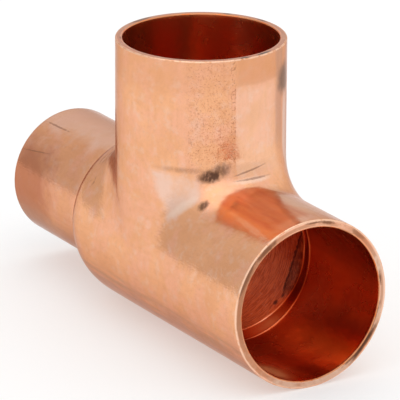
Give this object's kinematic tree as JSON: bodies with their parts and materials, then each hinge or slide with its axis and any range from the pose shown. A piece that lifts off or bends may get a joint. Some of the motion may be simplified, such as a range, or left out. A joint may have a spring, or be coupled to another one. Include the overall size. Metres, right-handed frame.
{
  "type": "reducing tee fitting",
  "caption": "Copper solder tee for water tube: a straight run reduced at its far end, a full-size branch, and a plain tube socket in every mouth.",
  "frame": {"origin": "where the run axis crosses the branch axis, on the middle line of the waterway", "axes": "+X along the run, out of its large mouth; -X out of the reduced end; +Z along the branch, out of its mouth; +Y completes the frame"},
  "size_m": [0.0868, 0.0316, 0.0555],
  "materials": {
    "copper": null
  },
  "bodies": {
    "root": {"tee_body": "copper"}
  },
  "joints": []
}
